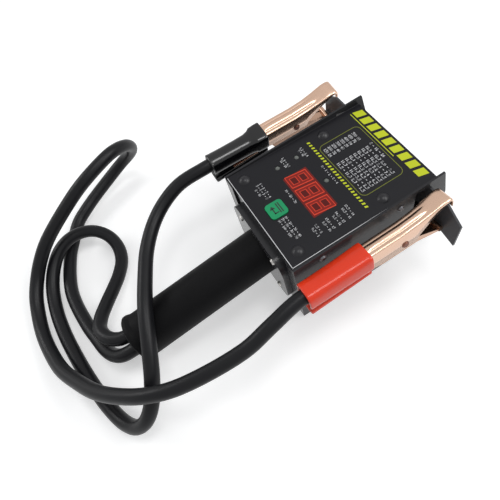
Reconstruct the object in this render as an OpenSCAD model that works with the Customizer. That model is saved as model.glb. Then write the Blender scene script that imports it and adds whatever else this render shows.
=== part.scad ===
// Handheld battery load tester with two clamp leads.
// Frame: the origin is the middle of the case's base, +Y runs to the top of
// the display face, -Y is the handle end, +Z points up out of the face.

/* [Case] */
// Outside width over the two side walls
case_w = 87; // [80:1:110]
// Length of the side walls at the base
case_len = 120; // [110:1:150]
// Height of the display face above the base
face_z = 77; // [70:1:100]
// Thickness of the side wall sheet
wall_t = 1.5; // [1:0.1:2.5]
// Rise of the side wall rim above the face at the far end
rim_rise = 5; // [2:0.5:8]
// Slope of the far end of the walls
wall_rake = 6; // [2:1:10]
// Height up to which the far end of the walls is at full length
rake_z = 58; // [50:1:62]
// Width of the return flange at each near end corner
corner_w = 10; // [6:0.5:14]
// Thickness of the cover, end and base plates
plate_t = 1.2; // [0.8:0.1:2]
// Length of the display face
face_len = 110; // [100:1:116]
// Thickness of the printed overlay film
film_t = 0.5; // [0.3:0.1:0.8]
// Margin between the overlay and each side wall
film_margin = 1; // [0.5:0.1:2]
// Depth of the cover and base flanges against the walls
flange_h = 10; // [8:0.5:12]

/* [Clamp rest] */
// Tip to tip width of the ears that park the clamps
ear_span = 147; // [140:1:160]
// Height of the top edge of the ears
ear_top_z = 74.5; // [70:0.5:75]
// Width over which the top edge of the ears is level
ear_flat_span = 118; // [112:1:126]
// Distance of the ears behind the origin
ear_y = 43.1; // [43:0.1:43.3]
// Thickness of the clamp rest sheet
ear_t = 1.5; // [1:0.1:1.6]
// Distance from the ear back to the near edge of the wall window
window_len = 13; // [8:1:16]

/* [Handle] */
// Height at which the handle axis meets the case
handle_z = 42.5; // [38:0.5:46]
// Downward tilt of the handle
handle_tilt = 8.5; // [6:0.5:9]
// Length of the handle from the case to its free end
handle_len = 109; // [100:1:110]
// Wall of the foam grip round the steel tube
grip_wall = 2; // [1:0.25:4.5]
// Outside diameter of the steel tube inside the grip
tube_d = 29; // [27:0.5:29]
// Wall of the steel tube
tube_wall = 1.5; // [1:0.1:2]
// Height of the handle flange
flange_len_z = 50; // [48:1:54]
// Thickness of the handle flange
flange_t = 5.5; // [4:0.5:7]
// Spacing of the handle screws across
handle_screw_x = 41; // [40:1:46]
// Spacing of the handle screws in height
handle_screw_z = 36; // [34:1:38]

/* [Leads] */
// Outside diameter of the clamp leads
lead_d = 10; // [9:0.1:10]
// Spacing of the two leads in the handle
lead_pitch = 11; // [10.5:0.5:12]

/* [Clamps] */
// Width of the upper jaw channel
jaw_w = 12; // [11:0.5:13]
// Sheet thickness of the jaws
jaw_t = 1.2; // [0.8:0.1:1.4]
// Distance of the clamp pivots in front of the origin
pivot_y = 10.5; // [10.4:0.1:10.7]
// Height of the clamp pivots
pivot_z = 61; // [60.5:0.1:61]
// Sideways place of the red clamp
red_x = 55.5; // [54.5:0.5:58]
// Sideways place of the black clamp
black_x = -70.5; // [-71:0.5:-66]
// Inward lean of each clamp
clamp_roll = 9; // [6:0.5:10]
// Diameter of the pivot rivet
rivet_d = 3.1; // [2.5:0.1:3.6]
// Radial clearance of the rivet in the jaws
rivet_fit = 0.05; // [0.02:0.01:0.1]
// Diameter of the contact bar across the lower jaw tip
bar_d = 4; // [3:0.5:4]
// Length of the contact bar
bar_len = 10; // [9:0.5:12]
// Width of the front collar of the upper boot
collar_w = 17; // [16:0.5:18]
// Outside diameter of the upper boot behind the collar
boot_d = 14.6; // [13.5:0.1:15]
// Length of the boots
boot_len = 46; // [42:1:48]
// Width of the lower boot
lower_boot_w = 11.4; // [11.2:0.1:11.4]

/* [Face controls] */
// Width of the display opening
display_w = 37; // [34:0.5:40]
// Height of the display opening along the face
display_h = 18; // [16:0.5:20]
// Middle of the display across the face
display_x = 1; // [-3:0.5:3]
// Middle of the display along the face
display_y = -20.3; // [-22:0.1:-18]
// Side of the square key
key_w = 12.4; // [11:0.2:14]
// Corner radius of the key
key_r = 2.5; // [1:0.5:4]
// Middle of the key along the face
key_y = -45; // [-46:0.5:-43]
// Travel of the key
key_travel = 0.8; // [0.4:0.1:1]
// Gap round the key
key_gap = 0.35; // [0.3:0.05:0.5]
// Diameter of the indicator lamps
led_d = 3.6; // [3:0.1:4]
// Diameter of the four domed heads on the face
dome_d = 8; // [7:0.5:10]
// Height of the four domed heads
dome_h = 2; // [1.5:0.1:2.5]
// Spacing of the domed heads across the face
dome_x = 66; // [60:1:68]
// Nearest domed heads along the face
dome_near_y = -50.2; // [-51:0.1:-49]
// Spacing of the domed heads along the face
dome_pitch_y = 64; // [60:1:66]

/* [Inside] */
// Height of the circuit board's top
board_z = 62; // [60:0.5:64]
// Thickness of the circuit board
board_t = 1.6; // [1:0.1:2]
// Distance from the dome screws to the board's side edges
board_side = 5; // [4:0.5:6]
// Distance from the dome screws to the board's end edges
board_end = 4; // [3.5:0.5:6]
// Outside diameter of the board standoffs
standoff_d = 6; // [5:0.5:7]
// Diameter of the dome screws' shanks
stud_d = 3; // [2.5:0.1:3.5]
// Width of the relay
relay_w = 28; // [24:1:32]
// Height of the relay
relay_h = 25; // [20:1:26]
// Width of the load strip
strip_w = 12; // [8:1:14]
// Number of runs of the load strip
strip_runs = 7; // [5:2:9]
// Pitch of the load strip's runs
strip_pitch = 6; // [5:0.5:6]
// Width of each vent slot
vent_w = 56; // [40:1:64]
// Height of each vent slot
vent_h = 3.5; // [2.5:0.5:4.5]

/* [Hidden] */

$fn = 48;
eps = 0.01;
gap = 0.3;

// Case
half_w = case_w / 2;
inner_half = half_w - wall_t;
near_y = -case_len / 2;
far_y = case_len / 2;
end_plate_y = near_y + wall_t;
face_near_y = near_y + 1;
film_z = face_z - film_t;
panel_z = film_z - plate_t;
film_w = 2 * (inner_half - film_margin);
far_rim_y = far_y - wall_rake;
near_rim_z = face_z + 0.5;
window_near_y = ear_y + ear_t - window_len;
window_low_z = 44;
window_drop = 3.5;
ear_half = ear_span / 2;
ear_flat_half = ear_flat_span / 2;
ear_corner_drop = 9;
ear_tip_drop = 32;
ear_elbow_drop = 29;
ear_elbow_out = 1.5;
ear_neck_drop = 24.5;
ear_neck_in = 5.5;

// Screws: places along Y, height, and hole and head sizes
screw_d = 3;
screw_head_d = 5;
screw_head_h = 1.1;
screw_fit = 0.05;
screw_reach = wall_t + plate_t + 2;
side_screw_y = [-39.4, 20];
top_screw_z = panel_z - 3.2;
base_screw_z = 5;

// Clamp geometry, in the clamp's own frame: the pivot is the origin, +Y runs
// to the jaw tips, +Z is the upper side
jaw_top = [[-25, 10.4], [-12, 10.6], [0, 10.8], [12, 12.2], [22, 14.6], [29, 16.8], [34, 17]];
jaw_nose = [[36.4, 15.6], [37.4, 12.6], [37.4, 9.5]];
jaw_gape = [[31.6, 15.2], [20.5, 8.4], [11.3, 0.4]];
heel_y = -25;
neck_y = -34;
neck_top = 10.4;
jaw_heel = [[9, -4], [-20, -4], [heel_y, -3]];
grip_rear = -56;
grip_top = 8;
grip_low = -1;
lower_in = jaw_w / 2 - jaw_t - gap;
bar_y = 30.3;
bar_z = -10.7;
boot_front = -26;
boot_rear = boot_front - boot_len;
collar_len = 9;
lead_in_z = 3.4;
bore_fit = 0.3;
crimp_d = 8.6;
collar_h = 13;
collar_low = -2.1;
black_tail_slope = 0.128;
red_tail_slope = 0.06;
black_belly_z = -14.5;
red_belly_z = -7.8;
tail_low = -6.3;
rivet_head_d = 5.2;
rivet_head_h = 0.8;
spring_wire = 1.2;
spring_turns = 3;
spring_d = 6;
spring_reach = 14;
upper_leg_z = 8.3;
upper_leg_slope = 20;
lower_leg_z = -4.2;
lower_leg_slope = 4;

// Face and inside
led_places = [["led_polarity", 0.2, -6.4], ["led_volts", -28, -11.7], ["led_load", -28, -27]];
led_rise = 0.4;
key_rise = 0.6;
switch_w = 7.5;
switch_h = 5;
module_h = 8;
board_y = dome_near_y + dome_pitch_y / 2;
relay_y = -32;
strip_t = 0.6;
strip_rise = 8;
strip_h = 24;
grommet_len = 10;
board_w = dome_x + 2 * board_side;
board_len = dome_pitch_y + 2 * board_end;
strip_y = 6;
insulator_w = 10;
insulator_len = 46;
insulator_h = 36;
relay_post_d = 5;
lug_t = 1.6;
lug_len = 9;
lead_inside = 18;
vent_count = 8;
vent_pitch = 8;
vent_low_z = 9;
flange_w = case_w - 2 * corner_w - 1;
handle_flange_z = handle_z - 2.5;
flange_front_y = end_plate_y - flange_t;

// Lead routes, from the handle to the clamp: every point is on the lead's axis
black_route = [[-5.5, -164, 26.8], [-5.6, -170.5, 26], [-7.4, -177.8, 25.2], [-13.4, -184.8, 24],
    [-23.5, -188.2, 22], [-33.3, -185.4, 19.4], [-43.3, -179, 16.4], [-54, -171, 13.2],
    [-65, -163.3, 10.2], [-78, -157, 8], [-91, -154.8, 9], [-103, -157.5, 12],
    [-111.5, -164.5, 15], [-115.5, -174, 17], [-115, -185, 18], [-110, -196, 16.5],
    [-101, -205.5, 13], [-88, -213, 9], [-70, -217.5, 6], [-48, -218, 5.6],
    [-24, -216, 5.5], [0, -212.5, 5.5], [24, -207, 6], [40.5, -200, 9.5],
    [49.5, -192, 15.5], [51.5, -183.5, 22.5], [47.5, -175, 30], [36.5, -166, 38.5],
    [19, -157, 47], [-1, -149, 51.6], [-22, -140, 52.2], [-42, -130, 52.2],
    [-58, -117, 53.6], [-67, -103, 57], [-71, -87, 61.4], [-70, -66, 64.4], [-70, -46, 64.4]];
red_route = [[5.5, -164, 26.8], [5.3, -172, 25.3], [3.2, -180.5, 22], [-3, -187.5, 16.5],
    [-13, -193, 11.5], [-27, -197, 7.8], [-43, -200.5, 5.9], [-77, -202.3, 5.5],
    [-108, -193.5, 5.5], [-122, -186, 5.5], [-137.4, -175.8, 6], [-144.4, -165.9, 7.5],
    [-151.4, -154, 9], [-161.6, -130.3, 13.5], [-163.2, -119.5, 18], [-160.1, -111, 25],
    [-154.3, -105.6, 34], [-148.9, -104, 43], [-142.9, -106.5, 51.5], [-136.8, -112.8, 58],
    [-131.1, -121.7, 61.5], [-121.2, -146.7, 59], [-118.4, -163.8, 51],
    [-111.1, -195.3, 33.5], [-105.7, -207.5, 25], [-98.8, -217.1, 17.5], [-86, -225.5, 12],
    [-71, -230, 8.6], [-54, -231.5, 8], [-34, -229, 11], [-14, -223, 17], [4, -213, 24],
    [20, -202, 32], [34, -188, 40], [47, -170, 48], [55, -150, 52], [60, -108, 57],
    [58, -87, 62], [55, -66, 64.4], [55, -46, 64.4]];

// ---- Helpers ----

// A plate standing across X, from a [y, z] outline, between two x values
module side_plate(outline, x0, x1) {
    translate([x0, 0, 0]) rotate([90, 0, 90]) linear_extrude(x1 - x0) polygon(outline);
}

// A rounded rectangle centred on the origin
module rounded_rect(w, h, r) {
    square([w - 2 * r, h], center = true);
    square([w, h - 2 * r], center = true);
    for (x = [-1, 1], y = [-1, 1])
        translate([x * (w / 2 - r), y * (h / 2 - r)]) circle(r);
}

// A block lying along Y from y0 to y1, with a 2-D profile in x and z
module along_y(y0, y1) {
    translate([0, y1, 0]) rotate([90, 0, 0]) linear_extrude(y1 - y0) children();
}

// A cylinder along X, centred on the origin
module cross_pin(d, len) {
    rotate([0, 90, 0]) cylinder(d = d, h = len, center = true);
}

// The handle's frame: +Z runs out along the handle from the case wall
module handle_frame() {
    translate([0, near_y + 1, handle_z]) rotate([90 + handle_tilt, 0, 0]) children();
}

// One clamp's frame: side is +1 on the red side and -1 on the black side
module clamp_frame(x, side) {
    translate([x, pivot_y, pivot_z]) rotate([0, -side * clamp_roll, 0]) children();
}

// Unit vector of a 3-D vector
function unit(v) = v / norm(v);
// Direction of the route at point i
function heading(p, i) = unit(p[min(i + 1, len(p) - 1)] - p[max(i - 1, 0)]);
// Sideways vector, level and square to the route at point i
function sideways(p, i) = unit(cross([0, 0, 1], heading(p, i)));
// A ring of n points round point i of a route
function ring(p, i, r, n) =
    let (s = sideways(p, i), u = cross(heading(p, i), s))
    [for (k = [0:n - 1]) p[i] + r * (cos(360 * k / n) * s + sin(360 * k / n) * u)];

// A round tube swept along the points of a route
module swept_tube(route, d, n) {
    rings = [for (i = [0:len(route) - 1]) each ring(route, i, d / 2, n)];
    last = (len(route) - 1) * n;
    walls = [for (i = [0:len(route) - 2], k = [0:n - 1])
        let (a = i * n + k, b = i * n + (k + 1) % n)
        each [[a, b, b + n], [a, b + n, a + n]]];
    polyhedron(rings, concat(walls, [[for (k = [n - 1:-1:0]) k]],
        [[for (k = [0:n - 1]) last + k]]));
}

// ---- Case ----

wall_outline = [[near_y, 0], [far_y, 0], [far_y, rake_z],
    [far_rim_y, face_z + rim_rise], [near_y, near_rim_z]];
window_outline = [[window_near_y, window_low_z], [ear_y + ear_t, window_low_z],
    [ear_y + ear_t, ear_top_z + 0.5], [window_near_y, ear_top_z + 0.5 + window_drop]];

// Bores for the side screws through one wall
module side_screw_bores(d) {
    for (y = side_screw_y, z = [base_screw_z, top_screw_z])
        translate([0, y, z]) cross_pin(d, case_w + 10);
}

module side_wall(side) {
    outer = side * half_w;
    inner = side * inner_half;
    difference() {
        union() {
            side_plate(wall_outline, min(outer, inner), max(outer, inner));
            translate([side > 0 ? half_w - corner_w : -half_w, near_y, 0])
                cube([corner_w, wall_t, panel_z]);
        }
        side_plate(window_outline, min(outer, inner) - 1, max(outer, inner) + 1);
        side_screw_bores(screw_d + 2 * screw_fit);
    }
}

module side_wall_left() {
    color("#26272b") side_wall(-1);
}

module side_wall_right() {
    color("#26272b") side_wall(1);
}

module end_plate() {
    color("#1d1e20") difference() {
        translate([-inner_half, end_plate_y, plate_t])
            cube([2 * inner_half, plate_t, panel_z - plate_t]);
        translate([0, end_plate_y - 1, handle_z])
            rotate([-90, 0, 0]) cylinder(d = tube_d - 2 * tube_wall, h = plate_t + 2);
        handle_screw_bores(screw_d + 2 * screw_fit);
    }
}

module vent_plate() {
    color("#1d1e20") translate([0, face_near_y + face_len, 0]) rotate([90, 0, 0])
        linear_extrude(plate_t) difference() {
            translate([-inner_half, plate_t]) square([2 * inner_half, panel_z - plate_t]);
            for (i = [0:vent_count - 1])
                translate([0, vent_low_z + i * vent_pitch]) rounded_rect(vent_w, vent_h, vent_h / 2 - eps);
        }
}

module base_cover() {
    color("#1d1e20") difference() {
        union() {
            translate([-inner_half, end_plate_y, 0])
                cube([2 * inner_half, far_y - end_plate_y, plate_t]);
            for (x = [-inner_half, inner_half - plate_t])
                translate([x, end_plate_y + plate_t, plate_t - eps])
                    cube([plate_t, face_near_y + face_len - 2 * plate_t - end_plate_y,
                        flange_h - plate_t]);
        }
        side_screw_bores(screw_d + 2 * screw_fit);
    }
}

module clamp_rest() {
    half = [[0, ear_top_z], [ear_flat_half, ear_top_z], [ear_half, ear_top_z - ear_corner_drop],
        [ear_half, ear_top_z - ear_tip_drop],
        [ear_flat_half + ear_elbow_out, ear_top_z - ear_elbow_drop],
        [ear_flat_half - ear_neck_in, ear_top_z - ear_neck_drop], [0, ear_top_z - ear_neck_drop]];
    color("#2b2c30") translate([0, ear_y + ear_t, 0]) rotate([90, 0, 0])
        linear_extrude(ear_t)
            union() {
                polygon(half);
                mirror([1, 0]) polygon(half);
            }
}

module side_screws() {
    color("silver") for (side = [-1, 1], y = side_screw_y, z = [base_screw_z, top_screw_z])
        translate([side * half_w, y, z]) rotate([0, side * 90, 0]) {
            translate([0, 0, -screw_reach]) cylinder(d = screw_d, h = screw_reach + eps);
            cylinder(d1 = screw_head_d, d2 = screw_head_d * 0.7, h = screw_head_h);
        }
}

// ---- Face ----

// Places of the four domed heads
module at_domes() {
    for (x = [-dome_x / 2, dome_x / 2], y = [dome_near_y, dome_near_y + dome_pitch_y])
        translate([x, y, 0]) children();
}

// Openings of the face that the panel and the overlay share
module face_openings(z0, z1) {
    translate([0, 0, z0]) linear_extrude(z1 - z0) {
        translate([display_x, display_y]) square([display_w, display_h], center = true);
        translate([0, key_y])
            rounded_rect(key_w + 2 * key_gap, key_w + 2 * key_gap, key_r + key_gap);
    }
    for (p = led_places)
        translate([p[1], p[2], z0]) cylinder(d = led_d + 2 * screw_fit, h = z1 - z0);
    at_domes() translate([0, 0, z0]) cylinder(d = stud_d + 2 * screw_fit, h = z1 - z0);
}

module face_panel() {
    color("#2a2b2e") difference() {
        union() {
            translate([-inner_half, face_near_y, panel_z])
                cube([2 * inner_half, face_len, plate_t]);
            for (x = [-inner_half, inner_half - plate_t])
                translate([x, end_plate_y + plate_t, panel_z - flange_h + plate_t])
                    cube([plate_t, window_near_y - gap - end_plate_y - plate_t,
                        flange_h - plate_t + eps]);
        }
        face_openings(panel_z - 1, film_z + 1);
        side_screw_bores(screw_d + 2 * screw_fit);
    }
}

module face_overlay() {
    color("#323339") difference() {
        translate([-film_w / 2, face_near_y, film_z]) cube([film_w, face_len, film_t]);
        face_openings(film_z - 1, face_z + 1);
    }
}

module face_studs() {
    dome_r = (pow(dome_d / 2, 2) + dome_h * dome_h) / (2 * dome_h);
    color("#3a3b40") at_domes() {
        intersection() {
            translate([0, 0, face_z + dome_h - dome_r]) sphere(dome_r);
            translate([0, 0, face_z]) cylinder(d = dome_d, h = dome_h + 1);
        }
        translate([0, 0, board_z - board_t - 3])
            cylinder(d = stud_d, h = face_z + eps - board_z + board_t + 3);
    }
}

module display_window() {
    color("#c23a2c") translate([display_x, display_y, panel_z])
        linear_extrude(film_t + plate_t)
            square([display_w - 0.1, display_h - 0.1], center = true);
}

module display_module() {
    color("#3a0f10") translate([display_x, display_y, board_z + module_h / 2]) {
        cube([display_w, display_h, module_h], center = true);
        translate([0, 0, module_h / 2 - eps]) linear_extrude(panel_z - board_z - module_h)
            square([display_w - 3, display_h - 3], center = true);
    }
}

module led(i) {
    p = led_places[i];
    top = face_z + led_rise;
    color("#c9c6b8") translate([p[1], p[2], board_z]) {
        cylinder(d = led_d + 1, h = 4);
        cylinder(d = led_d, h = top - board_z - led_d / 4);
        translate([0, 0, top - board_z - led_d / 4]) cylinder(d1 = led_d, d2 = led_d / 2, h = led_d / 4);
    }
}

module led_polarity() {
    led(0);
}

module led_volts() {
    led(1);
}

module led_load() {
    led(2);
}

module key_cap() {
    low = board_z + switch_h + gap + key_travel;
    color("#2fae6e") {
        translate([0, key_y, panel_z - 2]) linear_extrude(face_z + key_rise - panel_z + 2)
            rounded_rect(key_w, key_w, key_r);
        translate([0, key_y, low]) cylinder(d = 4, h = panel_z - 2 - low + eps);
        translate([0, key_y, panel_z - 2]) linear_extrude(1.6)
            rounded_rect(key_w + 3, key_w + 3, key_r);
    }
}

module key_switch() {
    color("#2a2a2a") translate([0, key_y, board_z]) {
        translate([-switch_w / 2, -switch_w / 2, 0]) cube([switch_w, switch_w, switch_h - 1.5]);
        cylinder(d = 3.5, h = switch_h);
    }
}

// ---- Inside ----

module circuit_board() {
    color("#2f6b3c") difference() {
        translate([-board_w / 2, board_y - board_len / 2, board_z - board_t])
            cube([board_w, board_len, board_t]);
        at_domes() translate([0, 0, board_z - board_t - 1])
            cylinder(d = stud_d + 2 * screw_fit, h = board_t + 2);
    }
}

module board_standoffs() {
    color("silver") at_domes() difference() {
        translate([0, 0, board_z]) cylinder(d = standoff_d, h = panel_z - board_z);
        translate([0, 0, board_z - 1]) cylinder(d = stud_d + 2 * screw_fit, h = panel_z - board_z + 2);
    }
}

module board_nuts() {
    nut_h = 2.4;
    color("silver") at_domes() translate([0, 0, board_z - board_t - nut_h]) difference() {
        cylinder(d = 6, h = nut_h, $fn = 6);
        translate([0, 0, -1]) cylinder(d = stud_d + 2 * screw_fit, h = nut_h + 2);
    }
}

module relay() {
    post_h = handle_z - lug_t / 2 - plate_t - relay_h;
    color("#20242c") translate([-relay_w / 2, relay_y - relay_w / 2, plate_t])
        cube([relay_w, relay_w, relay_h]);
    color("#c9a24a") for (x = [-lead_pitch / 2, lead_pitch / 2])
        translate([x, near_y + 3 + lead_inside + lug_len / 2 + 1, plate_t + relay_h - eps])
            cylinder(d = relay_post_d, h = post_h + eps);
}

// Middle of run i of the load strip
function run_y(i) = strip_y + (i - (strip_runs - 1) / 2) * strip_pitch;

module load_strip() {
    low = plate_t + strip_rise;
    high = low + strip_h;
    color("#8d8f92") {
        for (i = [0:strip_runs - 1])
            translate([-strip_w / 2, run_y(i) - strip_t / 2, low]) cube([strip_w, strip_t, high - low]);
        for (i = [0:strip_runs - 2])
            translate([-strip_w / 2, run_y(i) - strip_t / 2, i % 2 == 0 ? high - strip_t : low])
                cube([strip_w, strip_pitch + strip_t, strip_t]);
    }
}

module load_insulators() {
    color("#e7e2d6") for (side = [-1, 1])
        translate([side * (strip_w / 2 + insulator_w / 2) - insulator_w / 2,
            strip_y - insulator_len / 2, plate_t])
            cube([insulator_w, insulator_len, insulator_h]);
}

// ---- Handle ----

module handle_screw_bores(d) {
    for (x = [-1, 1], z = [-1, 1])
        translate([x * handle_screw_x / 2, flange_front_y - 1,
            handle_flange_z + z * handle_screw_z / 2])
            rotate([-90, 0, 0]) cylinder(d = d, h = flange_t + 8);
}

module handle_flange() {
    color("#232427") difference() {
        translate([0, end_plate_y, handle_flange_z]) rotate([90, 0, 0])
            linear_extrude(flange_t) rounded_rect(flange_w, flange_len_z, 12);
        handle_frame() translate([0, 0, -8]) cylinder(d = tube_d + 0.1, h = 30);
        handle_screw_bores(screw_d + 2 * screw_fit);
    }
}

module handle_screws() {
    color("silver") for (x = [-1, 1], z = [-1, 1])
        translate([x * handle_screw_x / 2, flange_front_y,
            handle_flange_z + z * handle_screw_z / 2])
            rotate([-90, 0, 0]) {
                translate([0, 0, -eps]) cylinder(d = screw_d, h = flange_t + plate_t + 3 + eps);
                translate([0, 0, -screw_head_h])
                    cylinder(d1 = screw_head_d * 0.7, d2 = screw_head_d, h = screw_head_h);
            }
}

module handle_tube() {
    color("#8a8d90") difference() {
        handle_frame() translate([0, 0, -6]) difference() {
            cylinder(d = tube_d, h = handle_len + 4);
            translate([0, 0, -1]) cylinder(d = tube_d - 2 * tube_wall, h = handle_len + 8);
        }
        translate([-tube_d, end_plate_y, 0]) cube([2 * tube_d, 20, 2 * tube_d + handle_z]);
    }
}

module handle_grip() {
    lip = 1;
    inner_r = tube_d / 2 + 0.05;
    outer_r = tube_d / 2 + grip_wall;
    cut = 2 * outer_r;
    color("#232428") difference() {
        handle_frame() rotate_extrude($fn = 72) polygon([
            [inner_r, 0], [outer_r, 0],
            [outer_r, handle_len - 6], [outer_r + lip, handle_len - 3],
            [outer_r + lip, handle_len - 1], [outer_r, handle_len],
            [inner_r - 1, handle_len], [inner_r - 1, handle_len - 2], [inner_r, handle_len - 2]]);
        translate([-cut, flange_front_y, handle_z - cut])
            cube([2 * cut, 2 * flange_t, 2 * cut]);
    }
}

module lead_grommet() {
    color("#1b1b1d") handle_frame() translate([0, 0, handle_len - grommet_len]) difference() {
        cylinder(d = tube_d - 2 * tube_wall - 0.1, h = grommet_len);
        for (x = [-1, 1]) translate([x * lead_pitch / 2, 0, -1])
            cylinder(d = lead_d + gap, h = grommet_len + 2);
    }
}

// A lead inside the handle and the case, with its terminal lug
module inner_lead(side) {
    x = side * lead_pitch / 2;
    y = near_y + 3;
    handle_frame() translate([x, 0, -2]) cylinder(d = lead_d, h = handle_len - 1.5);
    translate([x, y, handle_z]) sphere(d = lead_d);
    translate([x, y, handle_z]) rotate([-90, 0, 0]) cylinder(d = lead_d, h = lead_inside);
    translate([x - 4, y + lead_inside - eps, handle_z - lug_t / 2]) cube([8, lug_len, lug_t]);
}

module inner_lead_black() {
    color("#1c1c1e") inner_lead(-1);
}

module inner_lead_red() {
    color("#1c1c1e") inner_lead(1);
}

module lead_black() {
    color("#202124") swept_tube(black_route, lead_d, 10);
}

module lead_red() {
    color("#202124") swept_tube(red_route, lead_d, 10);
}

// ---- Clamps ----

// The upper edge of the jaw, moved down by the sheet thickness
function sunk(points, t) = [for (p = points) [p[0], p[1] - t]];

// Outline of the top sheet of the upper jaw, nose included
top_sheet = concat(jaw_top, jaw_nose,
    [[jaw_nose[2][0] - jaw_t, jaw_nose[2][1]], [jaw_nose[1][0] - jaw_t, jaw_nose[1][1]],
     [jaw_nose[0][0] - jaw_t * 1.1, jaw_nose[0][1] - jaw_t * 0.6]],
    [for (i = [len(jaw_top) - 1:-1:0]) [jaw_top[i][0], jaw_top[i][1] - jaw_t]]);
// Outline of each cheek of the upper jaw
cheek = concat(sunk(jaw_top, jaw_t / 2), [[31.6, 16.2]], jaw_gape, jaw_heel);

module upper_jaw() {
    difference() {
        union() {
            side_plate(top_sheet, -jaw_w / 2, jaw_w / 2);
            for (x = [-jaw_w / 2, jaw_w / 2 - jaw_t]) {
                side_plate([for (p = cheek) if (p[0] < 32) p], x, x + jaw_t);
                side_plate([[heel_y, -3], [heel_y, neck_top - jaw_t / 2], [neck_y, grip_top],
                    [grip_rear, grip_top], [grip_rear, grip_low], [neck_y, grip_low]], x, x + jaw_t);
            }
            side_plate([[heel_y, neck_top], [heel_y, neck_top - jaw_t], [neck_y, grip_top - jaw_t],
                [grip_rear, grip_top - jaw_t], [grip_rear, grip_top], [neck_y, grip_top]],
                -jaw_w / 2, jaw_w / 2);
        }
        cross_pin(rivet_d + 2 * rivet_fit, jaw_w + 2);
    }
}

// Height of the underside of the lower jaw's tail at y
function tail_z(y, slope) = tail_low + slope * (y + 24);

// Lower jaw: its cheeks reach down to belly_z, below the web between them
module lower_jaw(slope, belly_z) {
    arm = [[-24, tail_low], [-24, -4], [-8, 3], [6, 3.4], [10, -2.4], [bar_y - 1, bar_z + 0.4],
        [bar_y, bar_z - 1.8], [11, min(belly_z, -8)], [-18, belly_z], [-22, tail_low]];
    rear = tail_z(grip_rear, slope);
    difference() {
        union() {
            for (x = [-lower_in, lower_in - jaw_t]) {
                side_plate(arm, x, x + jaw_t);
                side_plate([[-24, tail_low], [-24, -4], [grip_rear, rear + 2.8], [grip_rear, rear]],
                    x, x + jaw_t);
            }
            side_plate([[-24, tail_low], [12, tail_low], [12, tail_low + jaw_t],
                [-24, tail_low + jaw_t], [grip_rear, rear + jaw_t], [grip_rear, rear]],
                -lower_in, lower_in);
            side_plate([[12, tail_low], [bar_y, bar_z - 1.8], [bar_y, bar_z - 1.8 + jaw_t],
                [12, tail_low + jaw_t]], -lower_in, lower_in);
            translate([0, bar_y, bar_z]) cross_pin(bar_d, bar_len);
        }
        cross_pin(rivet_d + 2 * rivet_fit, jaw_w + 2);
    }
}

module rivet() {
    cross_pin(rivet_d, jaw_w + 2 * eps);
    for (side = [-1, 1])
        translate([side * jaw_w / 2, 0, 0]) rotate([0, side * 90, 0])
            cylinder(d1 = rivet_head_d, d2 = rivet_head_d - 1.2, h = rivet_head_h);
}

module torsion_spring() {
    coil_r = spring_d / 2;
    for (i = [0:spring_turns - 1])
        translate([(i - (spring_turns - 1) / 2) * spring_wire, 0, 0]) rotate([0, 90, 0])
            rotate_extrude() translate([coil_r, 0]) circle(d = spring_wire * 1.02);
    leg_x = (spring_turns - 1) / 2 * spring_wire;
    translate([-leg_x, -spring_reach, upper_leg_z]) rotate([-90 - upper_leg_slope, 0, 0])
        cylinder(d = spring_wire, h = spring_reach / cos(upper_leg_slope));
    translate([leg_x, -spring_reach, lower_leg_z]) rotate([-90 + lower_leg_slope, 0, 0])
        cylinder(d = spring_wire, h = spring_reach / cos(lower_leg_slope));
}

module crimp() {
    along_y(grip_rear, boot_front - 4) translate([0, grip_top - jaw_t - crimp_d / 2])
        circle(d = crimp_d);
}

// Upper boot: a square collar that narrows to a round sleeve on the lead
module upper_boot() {
    waist = boot_front - collar_len;
    difference() {
        union() {
            along_y(waist, boot_front) translate([0, collar_low + collar_h / 2])
                rounded_rect(collar_w, collar_h, 4);
            along_y(boot_rear, waist + eps) translate([0, lead_in_z])
                rounded_rect(boot_d, boot_d - 0.6, 5);
        }
        along_y(grip_rear - eps, boot_front + 1)
            translate([-jaw_w / 2, grip_low - 10]) square([jaw_w, grip_top - grip_low + 10]);
        side_plate([[boot_front + 1, grip_low - 7], [boot_front + 1, neck_top], [heel_y, neck_top],
            [neck_y, grip_top], [neck_y, grip_low - 7]], -jaw_w / 2, jaw_w / 2);
        along_y(boot_rear - 1, grip_rear + eps) translate([0, lead_in_z])
            circle(d = lead_d + 2 * bore_fit);
        along_y(boot_rear - 1, grip_rear + eps)
            translate([-jaw_w / 2, grip_low - 10]) square([jaw_w, lead_in_z - grip_low + 10]);
    }
}

// Lower boot: a channel that sheathes the tail of the lower jaw
module lower_boot(slope) {
    w = lower_boot_w / 2;
    rear_low = tail_z(boot_rear, slope);
    front_low = tail_z(boot_front, slope);
    outer = [[boot_front, front_low + 1], [boot_front, front_low - 2.1],
        [boot_rear, rear_low - 3], [boot_rear, rear_low + 2.2]];
    inner = [[boot_front + 1, tail_z(boot_front + 1, slope)],
        [grip_rear - 0.1, tail_z(grip_rear - 0.1, slope)], [grip_rear - 0.1, 0], [boot_front + 1, 0]];
    difference() {
        side_plate(outer, -w, w);
        side_plate(inner, -lower_in, lower_in);
    }
}

module black_upper_jaw() {
    color("#d9a98c") clamp_frame(black_x, -1) upper_jaw();
}

module black_lower_jaw() {
    color("#c58e74") clamp_frame(black_x, -1) lower_jaw(black_tail_slope, black_belly_z);
}

module black_rivet() {
    color("#b87f66") clamp_frame(black_x, -1) rivet();
}

module black_spring() {
    color("silver") clamp_frame(black_x, -1) torsion_spring();
}

module black_crimp() {
    color("#c58e74") clamp_frame(black_x, -1) crimp();
}

module black_upper_boot() {
    color("#17181b") clamp_frame(black_x, -1) upper_boot();
}

module black_lower_boot() {
    color("#17181b") clamp_frame(black_x, -1) lower_boot(black_tail_slope);
}

module red_upper_jaw() {
    color("#d9a98c") clamp_frame(red_x, 1) upper_jaw();
}

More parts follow.
